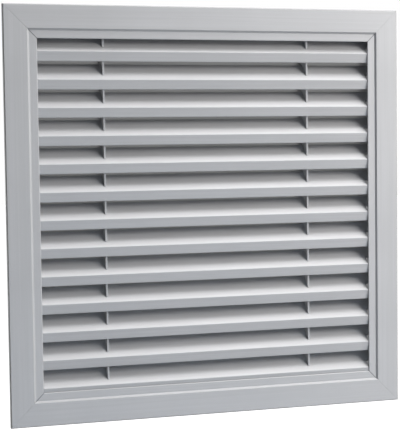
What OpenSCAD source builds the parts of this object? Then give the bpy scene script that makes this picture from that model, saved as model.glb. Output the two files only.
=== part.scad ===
// Fixed-blade ventilation grille: a mitred aluminium frame, horizontal Z-shaped blades
// and two upright supports. The origin is the middle of the wall plane, +Y runs into
// the wall and +Z is up. Depths are measured back from the front face of the flange.

/* [Overall] */
// Width over the flange
grille_w = 500; // [300:1:900]
// Height over the flange
grille_h = 500; // [300:1:900]
// How far the neck is set in from the flange's outer edge
neck_margin = 28.5; // [24:0.5:34]

/* [Frame section] */
// Thickness of the flange plate
flange_t = 1.8; // [1.2:0.1:2.5]
// How far the front face stands off the wall
flange_stand = 8; // [7:0.5:12]
// Rounding of the outer front edge
edge_r = 1.2; // [0.3:0.1:1.5]
// Distance from the outer edge to the middle of the bevelled step
step_margin = 29.4; // [26:0.1:34]
// Width of the bevelled step
step_w = 2.4; // [1:0.1:4]
// Depth of the bevelled step
step_d = 1.4; // [0.5:0.1:2]
// Distance from the outer edge to the clear opening
lip_margin = 39.9; // [37:0.1:48]
// Thickness of the inner lip
lip_t = 1.6; // [1.2:0.1:2]
// Rounding of the inner lip's front edge
lip_r = 0.9; // [0.2:0.1:1.1]
// Thickness of the neck wall
neck_t = 1.6; // [1.2:0.1:2.5]
// Thickness of the ribs behind the flange
rib_t = 1.6; // [1.2:0.1:2]
// Width of the foot on the outer rib
foot_w = 5; // [3:0.5:7]
// Width of the foot on the inner rib
hook_w = 5.1; // [3:0.5:7]
// Distance from the outer edge to the inside of the inner rib
key_chamber_end = 19.8; // [15:0.1:22]
// Gap left on each side of a mitre
mitre_gap = 0.06; // [0:0.01:0.3]

/* [Blades] */
// Distance between blades that the spacing is rounded to
blade_pitch_aim = 33.4; // [29:0.1:50]
// Thickness of the blade wall
blade_t = 1.4; // [1:0.1:2]
// Depth of the nosing's top edge behind the front face
nose_depth = 2.55; // [2:0.05:6]
// Height of the nosing
nose_h = 11.7; // [8:0.1:16]
// How much further back the nosing's bottom edge is than its top edge
nose_undercut = 2.3; // [0:0.1:4]
// Length of the return along the nosing's bottom edge
nose_return = 3.9; // [2:0.1:5]
// Rise of that return towards its rear edge, in degrees
return_angle = 10; // [0:1:20]
// Angle of the web
web_angle = 45; // [38:1:50]
// Height of the web above the nosing's top edge
web_rise = 19.3; // [16:0.1:22]
// Angle of the rear flat
tail_angle = 18; // [10:1:24]
// Length of the rear flat
tail_len = 15; // [8:0.5:18]
// Rounding of the nosing's bottom edge
blade_end_r = 0.9; // [0.2:0.1:1.2]
// Rounding of the nosing's top edge
blade_top_r = 0.8; // [0.2:0.1:1.2]
// Rounding of the bend between the web and the rear flat
blade_bend_r = 3; // [0.5:0.5:8]
// Gap between a blade's end and the neck wall
end_gap = 0.3; // [0.1:0.1:0.8]
// Gap between a blade's cut-back end and the frame's inner lip
cope_clear = 0.6; // [0.2:0.1:2]
// Clearance between the lowest nosing and the neck
stack_clear_bottom = 2.8; // [1:0.1:6]
// Clearance between the top blade's rear edge and the neck
stack_clear_top = 0.8; // [0.5:0.1:6]

/* [Supports] */
// Number of upright supports
support_count = 2; // [2:1:4]
// Distance between neighbouring supports
support_spacing = 260; // [90:1:300]
// Thickness of a support
support_t = 2; // [1.5:0.1:3]
// Depth of a support's front edge behind the front face
support_front = 7.8; // [7:0.1:9]
// How far a support reaches behind the blades
support_back = 2; // [1:0.1:6]
// Depth of the ear at each end of a support, behind its rear edge
ear_len = 8; // [7.5:0.5:20]
// How far the neck reaches behind the ears
neck_over = 1.2; // [0.5:0.1:40]
// Length of the foot that is folded from each ear
foot_len = 14; // [11:0.5:20]
// Height of each ear
ear_h = 16; // [10:0.5:24]
// Fillet where an ear meets the support's rear edge
ear_fillet = 4; // [1:0.5:6]
// Gap all round a blade where it passes through a support
slot_clear = 0.25; // [0.1:0.05:0.5]

/* [Fixings] */
// Radius of a blade screw's shank
screw_r = 1.9; // [1.4:0.05:2.2]
// Radius of a blade screw's head
screw_head_r = 3.5; // [3:0.1:4]
// Height of a blade screw's head
screw_head_h = 2.2; // [1.5:0.1:2.6]
// Length of a blade screw under its head
screw_len = 16; // [10:0.5:20]
// Wall of the screw channel under a blade
port_wall = 1.25; // [0.9:0.05:1.5]
// Metal left between a screw channel's bore and the blade's wall
port_gap = 0.3; // [0.2:0.05:0.5]
// Turn of each screw against the one before it, in degrees
screw_turn = 37; // [0:1:90]
// Width of the cross recess in a screw's head
recess_w = 0.9; // [0.5:0.1:1.2]
// Radius of a rivet's shank
rivet_r = 1.6; // [1.2:0.1:2]
// Radius of a rivet's head
rivet_head_r = 3.2; // [2.5:0.1:3.6]
// Height of a rivet's head
rivet_head_h = 1.1; // [0.8:0.1:1.5]
// Radial clearance of a fixing in its hole
hole_clear = 0.15; // [0.05:0.05:0.3]
// Radius of the holes for duct screws in the neck's sides
duct_hole_r = 2.25; // [1.5:0.05:2.75]
// Distance between the two duct screws on each side
duct_hole_spacing = 300; // [100:1:320]
// Distance from the neck's rear edge to the duct screws
duct_hole_edge = 5; // [4:0.5:6]

/* [Corner keys] */
// Thickness of a corner key
key_t = 4; // [2.5:0.1:4.2]
// Length of a corner key's arms from the frame's outer edge
key_arm = 52; // [44:1:70]
// Gap between a key and the chamber it sits in
key_clear = 0.2; // [0.1:0.05:0.3]
// Radius of a key's grub screws
grub_r = 2; // [1.5:0.1:2.5]
// Radial clearance of a grub screw in its key
grub_clear = 0.05; // [0.02:0.01:0.1]
// Distance from the frame's outer edge to the first grub screw on an arm
grub_first = 27; // [25:1:30]
// Distance between the two grub screws on an arm
grub_spacing = 16; // [10:1:16]

/* [Hidden] */
// Straight pieces in each rounding, and how far a cutter reaches past what it cuts
arc_steps = 6;
cutter_over = 1;
satin = "#b4b6bb";
zinc = "#c9cbd0";
steel = "#9da0a6";

// Inside faces of the neck, and the clear opening
neck_in_w = grille_w - 2 * (neck_margin + neck_t);
neck_in_h = grille_h - 2 * (neck_margin + neck_t);
open_w = grille_w - 2 * lip_margin;
y_front = -flange_stand;

// Corner points of the blade section, from the nosing's top front edge
nose_bottom = [nose_undercut, -nose_h];
return_way = [cos(return_angle), sin(return_angle)];
return_end = nose_bottom + nose_return * return_way;
web_end = [web_rise / tan(web_angle), web_rise];
tail_way = [cos(tail_angle), sin(tail_angle)];
tail_end = web_end + tail_len * tail_way;

// Depths behind the front face: supports, their ears and the neck enclose the blades
blade_rear = nose_depth + tail_end[0] + blade_t * sin(tail_angle);
support_rear = blade_rear + slot_clear + support_back;
ear_rear = support_rear + ear_len;
neck_depth = ear_rear + neck_over;

// The blades fill the neck from its floor to its roof
first_z = neck_in_h / 2 - stack_clear_top - tail_end[1];
last_z = -neck_in_h / 2 + stack_clear_bottom + nose_h;
blade_count = round((first_z - last_z) / blade_pitch_aim) + 1;
blade_pitch = (first_z - last_z) / (blade_count - 1);
blade_len = neck_in_w - 2 * end_gap;
cope_len = (blade_len - open_w) / 2 + end_gap;
cope_depth = step_d + lip_t + cope_clear;

// Screw channels under the web: one part way up and one in the bend, each as
// [centre, angle of its slit]
low_port_share = 0.6;
port_r = screw_r + hole_clear;
port_reach = blade_t + port_gap + port_r;
web_normal = [sin(web_angle), -cos(web_angle)];
bend_angle = (web_angle + tail_angle) / 2;
bend_normal = [sin(bend_angle), -cos(bend_angle)];
low_port_at = web_end * low_port_share + port_reach * web_normal;
high_port_at = web_end + port_reach / cos((web_angle - tail_angle) / 2) * bend_normal;
PORTS = [[low_port_at, web_angle - 90], [high_port_at, bend_angle - 90]];

// The supports' feet are riveted in the middle of their free part
rivet_depth = (support_rear + ear_rear) / 2;
rivet_out = (foot_len + support_t / 2) / 2;
support_xs = [for (i = [0 : support_count - 1]) (i - (support_count - 1) / 2) * support_spacing];

BLADES = [for (i = [1 : blade_count]) str("blade_", i < 10 ? "0" : "", i)];
SUPPORTS = [for (i = [1 : support_count]) str("support_", i)];
FRAME = ["frame_bottom", "frame_right", "frame_top", "frame_left"];
KEYS = [for (i = [1 : 4]) str("corner_key_", i)];
FIXINGS = ["blade_screws_left", "blade_screws_right", "support_rivets", "key_grub_screws"];

function unit(v) = v / norm(v);
function left_of(v) = [-v[1], v[0]];
function turned(v, a) = [v[0] * cos(a) - v[1] * sin(a), v[0] * sin(a) + v[1] * cos(a)];
function reversed(p) = [for (i = [len(p) - 1 : -1 : 0]) p[i]];
function arc(centre, r, from, to) =
    [for (i = [0 : arc_steps]) centre + r * [cos(from + (to - from) * i / arc_steps),
                                             sin(from + (to - from) * i / arc_steps)]];

// Corner b of a path a-b-c as an arc of radius r
function rounded(a, b, c, r) =
    let (d1 = unit(b - a), d2 = unit(c - b), cross_z = d1[0] * d2[1] - d1[1] * d2[0])
    let (side = sign(cross_z), turn = acos(d1 * d2), reach = r * tan(turn / 2))
    let (start = b - d1 * reach, centre = start + side * r * left_of(d1))
    [for (i = [0 : arc_steps]) centre + turned(start - centre, side * turn * i / arc_steps)];

// A path moved sideways by d, to its left where d is positive
function beside(p, d) =
    [for (i = [0 : len(p) - 1])
        let (before = i > 0 ? left_of(unit(p[i] - p[i - 1])) : left_of(unit(p[1] - p[0])))
        let (after = i < len(p) - 1 ? left_of(unit(p[i + 1] - p[i])) : before)
        let (mid = unit(before + after))
        p[i] + d / (mid * before) * mid];

// A section drawn in (depth, height) is swept along X, centred
module sweep_x(length) {
    rotate([90, 0, 90])
        linear_extrude(height = length, center = true)
            children();
}

// Section of the frame: distance in from the outer edge, then depth from the front face
function frame_outline() =
    let (lip_back = step_d + lip_t)
    let (hook_end = key_chamber_end + rib_t)
    concat(
        arc([edge_r, edge_r], edge_r, 180, 270),
        [[step_margin - step_w / 2, 0], [step_margin + step_w / 2, step_d]],
        arc([lip_margin - lip_r, step_d + lip_r], lip_r, 270, 360),
        [[lip_margin, lip_back], [neck_margin + neck_t, lip_back]],
        [[neck_margin + neck_t, neck_depth], [neck_margin, neck_depth]],
        [[neck_margin, flange_t], [hook_end, flange_t], [hook_end, flange_stand]],
        [[hook_end - hook_w, flange_stand], [hook_end - hook_w, flange_stand - rib_t]],
        [[key_chamber_end, flange_stand - rib_t], [key_chamber_end, flange_t]],
        [[rib_t, flange_t], [rib_t, flange_stand - rib_t]],
        [[foot_w, flange_stand - rib_t], [foot_w, flange_stand], [0, flange_stand]]);

// The lower bar of a frame that is length wide and span high, mitred at both ends
module frame_bar(length, span) {
    reach = lip_margin + cutter_over;
    inset = mitre_gap * sqrt(2);
    intersection() {
        sweep_x(length)
            polygon([for (p = frame_outline()) [p[1] + y_front, p[0] - span / 2]]);
        translate([0, neck_depth, 0])
            rotate([90, 0, 0])
                linear_extrude(height = 2 * neck_depth)
                    polygon([[inset - length / 2, -span / 2],
                             [length / 2 - inset, -span / 2],
                             [length / 2 - inset - reach, reach - span / 2],
                             [inset + reach - length / 2, reach - span / 2]]);
    }
}

// Axes of the blade screws, as [depth axis Y, height Z]
screw_axes = [for (i = [0 : blade_count - 1]) for (port = PORTS)
    [y_front + nose_depth + port[0][0], first_z - i * blade_pitch + port[0][1]]];

// A frame side with its screw holes; side is 1 on the right and -1 on the left
module frame_side(side) {
    hole_y = y_front + neck_depth - duct_hole_edge;
    difference() {
        rotate([0, -90 * side, 0]) frame_bar(grille_h, grille_w);
        for (a = screw_axes)
            translate([side * neck_in_w / 2, a[0], a[1]])
                rotate([0, 90, 0])
                    cylinder(h = 4 * neck_t, r = screw_r + hole_clear, center = true, $fn = 32);
        for (z = [-1, 1] * duct_hole_spacing / 2)
            translate([side * neck_in_w / 2, hole_y, z])
                rotate([0, 90, 0])
                    cylinder(h = 4 * neck_t, r = duct_hole_r, center = true, $fn = 32);
    }
}

// A frame bar above or below, with its rivet holes; side is 1 at the top and -1 below
module frame_end(side) {
    difference() {
        rotate([0, side > 0 ? 180 : 0, 0]) frame_bar(grille_w, grille_h);
        for (x = support_xs)
            translate([x + rivet_out * foot_side(x), y_front + rivet_depth, side * neck_in_h / 2])
                cylinder(h = 4 * neck_t, r = rivet_r + hole_clear, center = true, $fn = 32);
    }
}

module frame_part(index) {
    color(satin) {
        if (index == 0) frame_end(-1);
        if (index == 1) frame_side(1);
        if (index == 2) frame_end(1);
        if (index == 3) frame_side(-1);
    }
}

// A blade's outline, grown by clear; its origin is the nosing's top front edge
module blade_strip(clear) {
    sharp = [return_end + clear * return_way, nose_bottom, [0, 0], web_end,
             tail_end + clear * tail_way];
    skin = beside(sharp, clear);
    back = beside(sharp, -blade_t - clear);
    front = concat([skin[0]],
                   rounded(skin[0], skin[1], skin[2], blade_end_r),
                   rounded(skin[1], skin[2], skin[3], blade_top_r),
                   rounded(skin[2], skin[3], skin[4], blade_bend_r),
                   [skin[4]]);
    polygon(concat(front, reversed(back)));
}

// A round bar along X at each of a blade's screw channels
module port_bars(length, r) {
    for (port = PORTS)
        translate([0, port[0][0], port[0][1]])
            rotate([0, 90, 0])
                cylinder(h = length, r = r, center = true, $fn = 40);
}

// The solid form of a blade without its channels' bores, grown by clear
module blade_form(length, clear) {
    sweep_x(length) blade_strip(clear);
    port_bars(length, port_r + port_wall + clear);
}

// The slit that opens each channel along the side away from the web
module port_slits(length) {
    slit = port_r * 0.9;
    reach = 2 * port_r + port_wall;
    for (port = PORTS)
        translate([0, port[0][0], port[0][1]])
            rotate([port[1], 0, 0])
                translate([0, reach / 2, 0])
                    cube([length, reach, slit], center = true);
}

module blade(index) {
    cutter_len = blade_len + 2 * cutter_over;
    color(satin)
        translate([0, y_front + nose_depth, first_z - index * blade_pitch])
            difference() {
                blade_form(blade_len, 0);
                port_bars(cutter_len, port_r);
                port_slits(cutter_len);
                for (side = [-1, 1])
                    translate([side * blade_len / 2, 0, 0])
                        cope();
            }
}

// The nosing is cut back at each end, where the frame's inner lip is
module cope() {
    depth = return_end[0] + cope_depth;
    height = nose_h + web_rise;
    cube([2 * cope_len, 2 * depth, 2 * height], center = true);
}

// A support's foot is folded away from the middle of the grille
function foot_side(x) = x < 0 ? -1 : 1;

// Outline of a support in (depth, height), with an ear at each end
module support_outline() {
    front = y_front + support_front;
    rear = y_front + support_rear;
    ear = y_front + ear_rear;
    top = neck_in_h / 2;
    low_ear = [[ear, -top], [ear, ear_h - top]];
    inner = [rear, ear_h + ear_fillet - top];
    curve = rounded(low_ear[1], [rear, ear_h - top], inner + [0, 1], ear_fillet);
    upper = [for (p = reversed(curve)) [p[0], -p[1]]];
    polygon(concat([[front, -top]], low_ear, curve, upper, [[ear, top - ear_h], [ear, top]],
                   [[front, top]]));
}

// One support: a slotted plate with a riveted foot at each end
module support(index) {
    x = support_xs[index];
    out = foot_side(x);
    foot_y = y_front + support_rear + ear_len / 2;
    color(satin)
        difference() {
            union() {
                translate([x, 0, 0])
                    sweep_x(support_t)
                        support_outline();
                for (end = [-1, 1])
                    translate([x + out * foot_len / 2, foot_y, end * (neck_in_h - support_t) / 2])
                        cube([foot_len, ear_len, support_t], center = true);
            }
            for (i = [0 : blade_count - 1])
                translate([x, y_front + nose_depth, first_z - i * blade_pitch])
                    blade_form(3 * support_t, slot_clear);
            for (end = [-1, 1])
                translate([x + rivet_out * out, y_front + rivet_depth, end * neck_in_h / 2])
                    cylinder(h = 4 * support_t, r = rivet_r + hole_clear, center = true, $fn = 32);
        }
}

// A key's outline in the lower left corner, in (X, Z)
module key_outline() {
    near = rib_t + key_clear;
    far = key_chamber_end - key_clear;
    polygon([[near, near], [key_arm, near], [key_arm, far], [far, far], [far, key_arm],
             [near, key_arm]]);
}

// Places children in corner number index, which is drawn as the lower left one
module in_corner(index) {
    flip_x = (index == 1 || index == 2) ? 1 : 0;
    flip_z = index >= 2 ? 1 : 0;
    mirror([flip_x, 0, 0])
        mirror([0, 0, flip_z])
            translate([-grille_w / 2, 0, -grille_h / 2])
                children();
}

// Centres of a key's grub screws, in (X, Z) from the frame's outer corner
grub_row = (rib_t + key_chamber_end) / 2;
grub_ats = [for (i = [0, 1]) for (across = [true, false])
    let (along = grub_first + i * grub_spacing)
    across ? [along, grub_row] : [grub_row, along]];
key_front = y_front + flange_t + (flange_stand - flange_t - rib_t - key_t) / 2;

module corner_key(index) {
    color(steel)
        in_corner(index)
            difference() {
                translate([0, key_front + key_t, 0])
                    rotate([90, 0, 0])
                        linear_extrude(height = key_t)
                            key_outline();
                for (p = grub_ats)
                    translate([p[0], key_front + key_t / 2, p[1]])
                        rotate([90, 0, 0])
                            cylinder(h = 2 * key_t, r = grub_r + grub_clear, center = true, $fn = 32);
            }
}

// Grub screws press on the back of the flange plate; each has a hexagon socket
module key_grub_screws() {
    tip = y_front + flange_t;
    length = key_front + key_t - tip;
    socket_r = grub_r * 0.55;
    color(zinc)
        for (index = [0 : 3])
            in_corner(index)
                for (p = grub_ats)
                    translate([p[0], tip, p[1]])
                        rotate([-90, 0, 0])
                            difference() {
                                cylinder(h = length, r = grub_r, $fn = 32);
                                translate([0, 0, length / 2])
                                    cylinder(h = length, r = socket_r, $fn = 6);
                            }
}

// A pan-head screw: its shank runs along -Z, and the head stands on Z = 0
module pan_screw() {
    crown = screw_head_r * 0.55;
    point = 2 * screw_r;
    recess = [recess_w, 2 * screw_r, screw_head_h];
    difference() {
        rotate_extrude($fn = 40)
            polygon(concat([[0, -screw_len], [screw_r, point - screw_len], [screw_r, 0]],
                           [[screw_head_r, 0], [screw_head_r, screw_head_h - crown]],
                           [for (i = [1 : arc_steps])
                               let (a = 90 * i / arc_steps)
                               [screw_head_r - crown * (1 - cos(a)),
                                screw_head_h - crown * (1 - sin(a))]],
                           [[0, screw_head_h]]));
        for (a = [0, 90])
            rotate(a)
                translate([0, 0, screw_head_h])
                    cube(recess, center = true);
    }
}

module blade_screws(side) {
    color(zinc)
        for (i = [0 : len(screw_axes) - 1])
            translate([side * (neck_in_w / 2 + neck_t), screw_axes[i][0], screw_axes[i][1]])
                rotate([0, 90 * side, 0])
                    rotate(screw_turn * i)
                        pan_screw();
}

// A blind rivet: a low dome outside the neck and a bulb inside the support's foot
module rivet() {
    grip = neck_t + support_t;
    bulb_r = rivet_r * 1.45;
    bulb_h = rivet_r * 1.3;
    rotate_extrude($fn = 40)
        polygon(concat([[0, -grip - bulb_h], [bulb_r * 0.7, -grip - bulb_h]],
                       [[bulb_r, -grip - bulb_h / 2], [bulb_r, -grip], [rivet_r, -grip]],
                       [[rivet_r, 0], [rivet_head_r, 0]],
                       [for (i = [1 : arc_steps])
                           let (a = 90 * i / arc_steps)
                           [rivet_head_r * cos(a), rivet_head_h * sin(a)]]));
}

module support_rivets() {
    color(zinc)
        for (x = support_xs)
            for (end = [-1, 1])
                translate([x + rivet_out * foot_side(x), y_front + rivet_depth,
                           end * (neck_in_h / 2 + neck_t)])
                    rotate([end > 0 ? 0 : 180, 0, 0])
                        rivet();
}

for (i = [0 : 3]) frame_part(i);
for (i = [0 : blade_count - 1]) blade(i);
for (i = [0 : support_count - 1]) support(i);
for (i = [0 : 3]) corner_key(i);
blade_screws(-1);  // blade_screws_left
blade_screws(1);  // blade_screws_right
support_rivets();
key_grub_screws();
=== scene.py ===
"""Looks of the ventilation grille: satin coat, mill aluminium and zinc, in a pale studio.

Everything is in metres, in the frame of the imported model: the origin is the middle of the wall
plane, +X runs along the blades, +Y into the wall and +Z up.
"""

import math

import bpy
from mathutils import Matrix, Vector


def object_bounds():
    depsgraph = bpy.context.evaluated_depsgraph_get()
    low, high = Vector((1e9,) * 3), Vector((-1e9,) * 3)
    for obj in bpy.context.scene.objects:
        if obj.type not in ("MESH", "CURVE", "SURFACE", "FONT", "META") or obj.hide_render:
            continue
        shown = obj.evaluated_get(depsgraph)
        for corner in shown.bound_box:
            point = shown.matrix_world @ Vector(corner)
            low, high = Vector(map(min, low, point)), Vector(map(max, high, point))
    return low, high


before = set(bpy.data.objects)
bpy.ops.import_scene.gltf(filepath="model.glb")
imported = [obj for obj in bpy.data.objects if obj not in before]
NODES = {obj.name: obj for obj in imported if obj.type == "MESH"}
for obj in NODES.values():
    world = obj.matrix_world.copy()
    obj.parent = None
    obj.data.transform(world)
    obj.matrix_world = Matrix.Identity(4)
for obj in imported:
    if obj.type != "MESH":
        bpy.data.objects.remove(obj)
cad_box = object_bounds()
MM = 0.001
ALONG_X = (1, 0, 0)
ALONG_Z = (0, 0, 1)
WHITE = (1, 1, 1, 1)

# Camera, as read from the photograph's perspective
CAMERA_AT = Vector((-0.4479, -1.4847, 0.0843))
CAMERA_YAW = -16.37
CAMERA_PITCH = -3.25
CAMERA_ROLL = -0.74
LENS = 113.36
SENSOR_WIDTH = 36.0

# Studio; every light aims at the origin
FLOOR_DROP = 0.30
FLOOR_SIZE = 24.0
FLOOR_COLOR = (0.40, 0.40, 0.40)
FLOOR_GLOW = 0.95
FLOOR_ROUGHNESS = 0.9
WORLD_COLOR = (1.0, 0.93, 0.86)
WORLD_STRENGTH = 0.07
LIGHTS = {
    "overhead": dict(at=(0.448, -0.259, 1.932), size=(1.0, 1.0), watts=33.4, color=(0.99, 0.985, 1.0)),
    "top_right": dict(at=(0.843, -0.707, 1.905), size=(1.0, 1.0), watts=23.2, color=(0.99, 0.985, 1.0)),
    "front_right": dict(at=(1.398, -1.666, 1.014), size=(0.9, 0.9), watts=21.6, color=(1.0, 1.0, 1.0)),
    "right": dict(at=(1.004, -0.580, 0.311), size=(0.6, 0.9), watts=7.8, color=(1.0, 0.94, 0.90)),
    "low": dict(at=(0.0, -0.95, -0.65), size=(1.4, 0.5), watts=10.7, color=(0.56, 0.75, 1.0)),
    "left": dict(at=(-2.0, 0.1, 0.2), size=(1.0, 1.0), watts=0.7, color=(0.94, 0.97, 0.97)),
    "behind": dict(at=(0.205, 2.339, -0.499), size=(1.6, 1.2), watts=11.6, color=(0.86, 0.92, 0.97)),
}

# Colours, linear
COAT_COLOR = (0.424, 0.428, 0.434)
SEAM_COLOR = (0.075, 0.078, 0.085)
KEY_COLOR = (0.62, 0.63, 0.65)
RIVET_COLOR = (0.72, 0.73, 0.75)
ZINC_COLOR = (0.70, 0.72, 0.76)

# Values of a noise pattern that most of it lies between
LOW = 0.3
HIGH = 0.7

# Satin coat: scales of its patterns, shades of its colour, and the peel's height
COAT_CLOUDS = 9.0
COAT_PEEL = 520.0
COAT_GRAIN = 1400.0
COAT_LINES_ALONG = 4.0
COAT_LINES_ACROSS = 560.0
COAT_DULL = 0.965
COAT_LIGHT = 1.03
COAT_LINE_SHADE = 0.90
COAT_LINE_SHARE = 0.5
COAT_GRAIN_SHADE = 0.82
COAT_GRAIN_SHARE = 0.10
COAT_PEEL_HEIGHT = 0.013 * MM
COAT_ROUGHNESS = (0.40, 0.47)

# Bare metals: scales of the die lines, of the clouds and of the plating's grain
DIE_LINES_ALONG = 20.0
DIE_LINES_ACROSS = 1400.0
DIE_LINE_HEIGHT = 0.05 * MM
MILL_CLOUDS = 45.0
MILL_ROUGHNESS = (0.30, 0.46)
ZINC_CLOUDS = 260.0
ZINC_GRAIN = 1900.0
ZINC_GRAIN_HEIGHT = 0.03 * MM
ZINC_ROUGHNESS = (0.22, 0.38)

# The flange's outer edge is shaded as rounded over: its place, and the rounding's width and drop
EDGE_AT = cad_box[1][0]
EDGE_ROUND = 1.1 * MM
EDGE_DROP = 1.4 * MM

# The frame's bevelled step: its place, half its width, and how much deeper than the plain bevel
# it is shaded
STEP_AT = EDGE_AT - 29.4 * MM
STEP_HALF = 1.2 * MM
STEP_EXTRA = 1.4 * MM

# The mitre seam, drawn dark from the step inwards: the distances from the mitre between which it
# fades, how far it wavers, and how dark it is inside the step
SEAM_CORE = 0.10 * MM
SEAM_FADE = 0.75 * MM
SEAM_WAVER = 0.45 * MM
SEAM_WAVES = 160.0
SEAM_SHARE = 0.75
SEAM_END = MM


def camera():
    data = bpy.data.cameras.new("camera")
    data.lens = LENS
    data.sensor_width = SENSOR_WIDTH
    data.sensor_fit = "HORIZONTAL"
    obj = bpy.data.objects.new("camera", data)
    turn = Matrix.Rotation(math.radians(CAMERA_YAW), 4, "Z")
    turn = turn @ Matrix.Rotation(math.radians(90 + CAMERA_PITCH), 4, "X")
    turn = turn @ Matrix.Rotation(math.radians(CAMERA_ROLL), 4, "Z")
    obj.matrix_world = Matrix.Translation(CAMERA_AT) @ turn
    bpy.context.scene.collection.objects.link(obj)
    bpy.context.scene.camera = obj


def area_light(name, at, size, watts, color):
    data = bpy.data.lights.new(name, "AREA")
    data.shape = "RECTANGLE"
    data.size, data.size_y = size
    data.energy = watts
    data.color = color
    obj = bpy.data.objects.new(name, data)
    aim = (Vector((0, 0, 0)) - Vector(at)).to_track_quat("-Z", "Y")
    obj.matrix_world = Matrix.Translation(at) @ aim.to_matrix().to_4x4()
    bpy.context.scene.collection.objects.link(obj)


class Shader:
    """A material's node tree, built by short calls that return the new node's output."""

    def __init__(self, name):
        self.material = bpy.data.materials.new(name)
        self.material.use_nodes = True
        self.tree = self.material.node_tree
        self.bsdf = self.tree.nodes["Principled BSDF"]

    def feed(self, socket, value):
        """Link the socket to value where that is a socket too, or else set it to value."""
        if isinstance(value, bpy.types.NodeSocket):
            self.tree.links.new(value, socket)
        else:
            socket.default_value = value

    def node(self, kind, inputs=(), output=0, **settings):
        made = self.tree.nodes.new(kind)
        for key, value in settings.items():
            setattr(made, key, value)
        for key, value in dict(inputs).items():
            self.feed(made.inputs[key], value)
        return made.outputs[output]

    def math(self, operation, *values):
        return self.node("ShaderNodeMath", dict(enumerate(values)), operation=operation)

    def place(self):
        """The place on the object, in metres."""
        return self.node("ShaderNodeTexCoord", output="Object")

    def split(self, vector):
        """The vector's X, Y and Z."""
        made = self.tree.nodes.new("ShaderNodeSeparateXYZ")
        self.feed(made.inputs[0], vector)
        return made.outputs

    def stretched(self, place, along, slow, fast):
        """The place, scaled by slow in the direction along and by fast in the others."""
        scale = tuple(slow if a else fast for a in along)
        return self.node("ShaderNodeMapping", {"Vector": place, "Scale": scale})

    def noise(self, place, scale, detail=2.0, rough=0.5):
        inputs = {"Vector": place, "Scale": scale, "Detail": detail, "Roughness": rough}
        return self.node("ShaderNodeTexNoise", inputs, output="Fac")

    def span(self, value, low, high, to_low, to_high):
        """value, mapped from low..high to to_low..to_high."""
        inputs = {"Value": value, "From Min": low, "From Max": high, "To Min": to_low, "To Max": to_high}
        return self.node("ShaderNodeMapRange", inputs)

    def mix(self, share, first, second):
        """The first colour with a share of the second."""
        made = self.tree.nodes.new("ShaderNodeMix")
        made.data_type = "RGBA"
        self.feed(made.inputs[0], share)
        for key, color in ((6, first), (7, second)):
            self.feed(made.inputs[key], (*color, 1) if isinstance(color, tuple) else color)
        return made.outputs[2]

    def bump(self, height, strength, distance):
        normal = self.node("ShaderNodeBump", {"Height": height, "Strength": strength, "Distance": distance})
        self.tree.links.new(normal, self.bsdf.inputs["Normal"])

    def finish(self, **values):
        """Set the surface's inputs and return the material."""
        for key, value in values.items():
            self.feed(self.bsdf.inputs[key.replace("_", " ").title().replace("Ior", "IOR")], value)
        return self.material


def shade(color, share):
    return tuple(c * share for c in color)


def satin_coat(name, along, frame_bar=False):
    """Satin coat on an extrusion: fine peel, faint clouds, and faint lines that run along it."""
    s = Shader(name)
    place = s.place()
    clouds = s.noise(place, COAT_CLOUDS, detail=3.0)
    grain = s.noise(place, COAT_GRAIN, detail=1.0)
    peel = s.noise(place, COAT_PEEL)
    lines = s.noise(s.stretched(place, along, COAT_LINES_ALONG, COAT_LINES_ACROSS), 1.0, 3.0, 0.65)
    tone = s.span(clouds, LOW, HIGH, 0.0, 1.0)
    base = s.mix(tone, shade(COAT_COLOR, COAT_DULL), shade(COAT_COLOR, COAT_LIGHT))
    base = s.mix(s.span(lines, 0.38, 0.62, 0.0, COAT_LINE_SHARE), base, shade(COAT_COLOR, COAT_LINE_SHADE))
    base = s.mix(s.span(grain, 0.35, 0.65, 0.0, COAT_GRAIN_SHARE), base, shade(COAT_COLOR, COAT_GRAIN_SHADE))
    height = s.math("ADD", peel, s.math("MULTIPLY", grain, 0.35))
    height = s.math("MULTIPLY", height, COAT_PEEL_HEIGHT)
    if frame_bar:
        base, height = frame_profile(s, place, base, height)
    s.bump(height, 1.0, 1.0)
    return s.finish(base_color=base, roughness=s.span(clouds, LOW, HIGH, *COAT_ROUGHNESS),
                    specular_ior_level=0.5)


def frame_profile(s, place, base, height):
    """base with the mitre seams' dark line, and height with the deeper step and rounded edge."""
    x, _, z = s.split(place)
    wide = s.math("ABSOLUTE", x)
    tall = s.math("ABSOLUTE", z)
    out = s.math("MAXIMUM", wide, tall)
    from_mitre = s.math("ABSOLUTE", s.math("SUBTRACT", wide, tall))
    waver = s.math("MULTIPLY", s.noise(place, SEAM_WAVES), SEAM_WAVER)
    line = s.span(s.math("SUBTRACT", from_mitre, waver), SEAM_CORE, SEAM_FADE, 1.0, 0.0)
    share = s.span(out, STEP_AT - SEAM_END, STEP_AT + SEAM_END, SEAM_SHARE, 0.0)
    base = s.mix(s.math("MULTIPLY", line, share), base, SEAM_COLOR)
    deeper = s.span(out, STEP_AT - STEP_HALF, STEP_AT + STEP_HALF, 0.0, STEP_EXTRA)
    fall = s.span(out, EDGE_AT - EDGE_ROUND, EDGE_AT, 0.0, -EDGE_DROP)
    height = s.math("ADD", height, s.math("ADD", deeper, fall))
    return base, height


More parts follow.
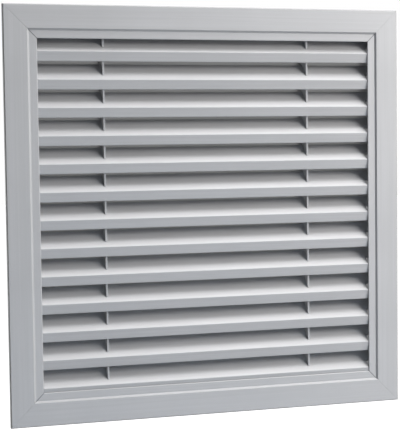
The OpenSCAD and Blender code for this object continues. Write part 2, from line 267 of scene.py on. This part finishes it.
def mill_aluminium(name, color, along):
    """Bare aluminium with die lines; along is the direction that they run in."""
    s = Shader(name)
    place = s.place()
    lines = s.noise(s.stretched(place, along, DIE_LINES_ALONG, DIE_LINES_ACROSS), 1.0, 3.0, 0.6)
    clouds = s.noise(place, MILL_CLOUDS, detail=3.0)
    base = s.mix(s.span(lines, LOW, HIGH, 0.0, 1.0), shade(color, 0.80), color)
    base = s.mix(s.span(clouds, 0.45, 0.75, 0.0, 0.35), base, shade(color, 0.62))
    s.bump(lines, 0.25, DIE_LINE_HEIGHT)
    rough = s.span(clouds, LOW, HIGH, *MILL_ROUGHNESS)
    return s.finish(base_color=base, roughness=rough, metallic=1.0)


def zinc(name, color):
    """Bright zinc plating with faint passivation clouds."""
    s = Shader(name)
    place = s.place()
    clouds = s.noise(place, ZINC_CLOUDS, detail=3.0)
    grain = s.noise(place, ZINC_GRAIN, detail=1.0)
    base = s.mix(s.span(clouds, 0.35, 0.65, 0.0, 1.0), shade(color, 0.84), color)
    s.bump(grain, 0.15, ZINC_GRAIN_HEIGHT)
    rough = s.span(clouds, LOW, HIGH, *ZINC_ROUGHNESS)
    return s.finish(base_color=base, roughness=rough, metallic=1.0)


def background_seen(tree):
    """1 for the rays that show the white background: camera, glossy and transmission rays."""
    path = tree.nodes.new("ShaderNodeLightPath").outputs
    seen = path["Is Camera Ray"]
    for kind in ("Is Glossy Ray", "Is Transmission Ray"):
        either = tree.nodes.new("ShaderNodeMath")
        either.operation = "MAXIMUM"
        tree.links.new(seen, either.inputs[0])
        tree.links.new(path[kind], either.inputs[1])
        seen = either.outputs[0]
    return seen


def floor_paint():
    """Pale paint that looks white to the camera and still takes the object's shadow."""
    s = Shader("floor_paint")
    faint = s.noise(s.place(), 3.0)
    base = s.mix(faint, shade(FLOOR_COLOR, 0.98), FLOOR_COLOR)
    glow = s.math("MULTIPLY", background_seen(s.tree), FLOOR_GLOW)
    return s.finish(base_color=base, roughness=FLOOR_ROUGHNESS, emission_color=WHITE, emission_strength=glow)


def floor():
    half = FLOOR_SIZE / 2
    corners = [(-half, -half, 0), (half, -half, 0), (half, half, 0), (-half, half, 0)]
    mesh = bpy.data.meshes.new("floor")
    mesh.from_pydata(corners, [], [(0, 1, 2, 3)])
    mesh.materials.append(floor_paint())
    obj = bpy.data.objects.new("floor", mesh)
    obj.location.z = cad_box[0][2] - FLOOR_DROP
    bpy.context.scene.collection.objects.link(obj)


def backdrop():
    """A world that is seen as white, and lights the object softly and dimly."""
    world = bpy.data.worlds.new("studio")
    world.use_nodes = True
    bpy.context.scene.world = world
    nodes, links = world.node_tree.nodes, world.node_tree.links
    soft = nodes["Background"]
    soft.inputs["Color"].default_value = (*WORLD_COLOR, 1)
    soft.inputs["Strength"].default_value = WORLD_STRENGTH
    white = nodes.new("ShaderNodeBackground")
    white.inputs["Color"].default_value = WHITE
    white.inputs["Strength"].default_value = 1.0
    mix = nodes.new("ShaderNodeMixShader")
    links.new(background_seen(world.node_tree), mix.inputs[0])
    links.new(soft.outputs[0], mix.inputs[1])
    links.new(white.outputs[0], mix.inputs[2])
    links.new(mix.outputs[0], nodes["World Output"].inputs["Surface"])


def dress(material, *names):
    for name in names:
        for slot in NODES[name].material_slots:
            slot.material = material


def dress_all():
    blades = [n for n in NODES if n.startswith("blade_") and n[-1].isdigit()]
    supports = [n for n in NODES if n.startswith("support_") and n[-1].isdigit()]
    keys = [n for n in NODES if n.startswith("corner_key_")]
    dress(satin_coat("frame_coat", ALONG_X, frame_bar=True), "frame_bottom", "frame_top")
    dress(satin_coat("frame_coat_upright", ALONG_Z, frame_bar=True), "frame_left", "frame_right")
    dress(satin_coat("blade_coat", ALONG_X), *blades)
    dress(satin_coat("support_coat", ALONG_Z), *supports)
    dress(mill_aluminium("key_metal", KEY_COLOR, ALONG_X), *keys)
    dress(zinc("screw_zinc", ZINC_COLOR), "blade_screws_left", "blade_screws_right", "key_grub_screws")
    dress(mill_aluminium("rivet_metal", RIVET_COLOR, ALONG_Z), "support_rivets")


camera()
floor()
backdrop()
for light_name, light in LIGHTS.items():
    area_light(light_name, **light)
bpy.context.scene.view_settings.view_transform = "Standard"
dress_all()
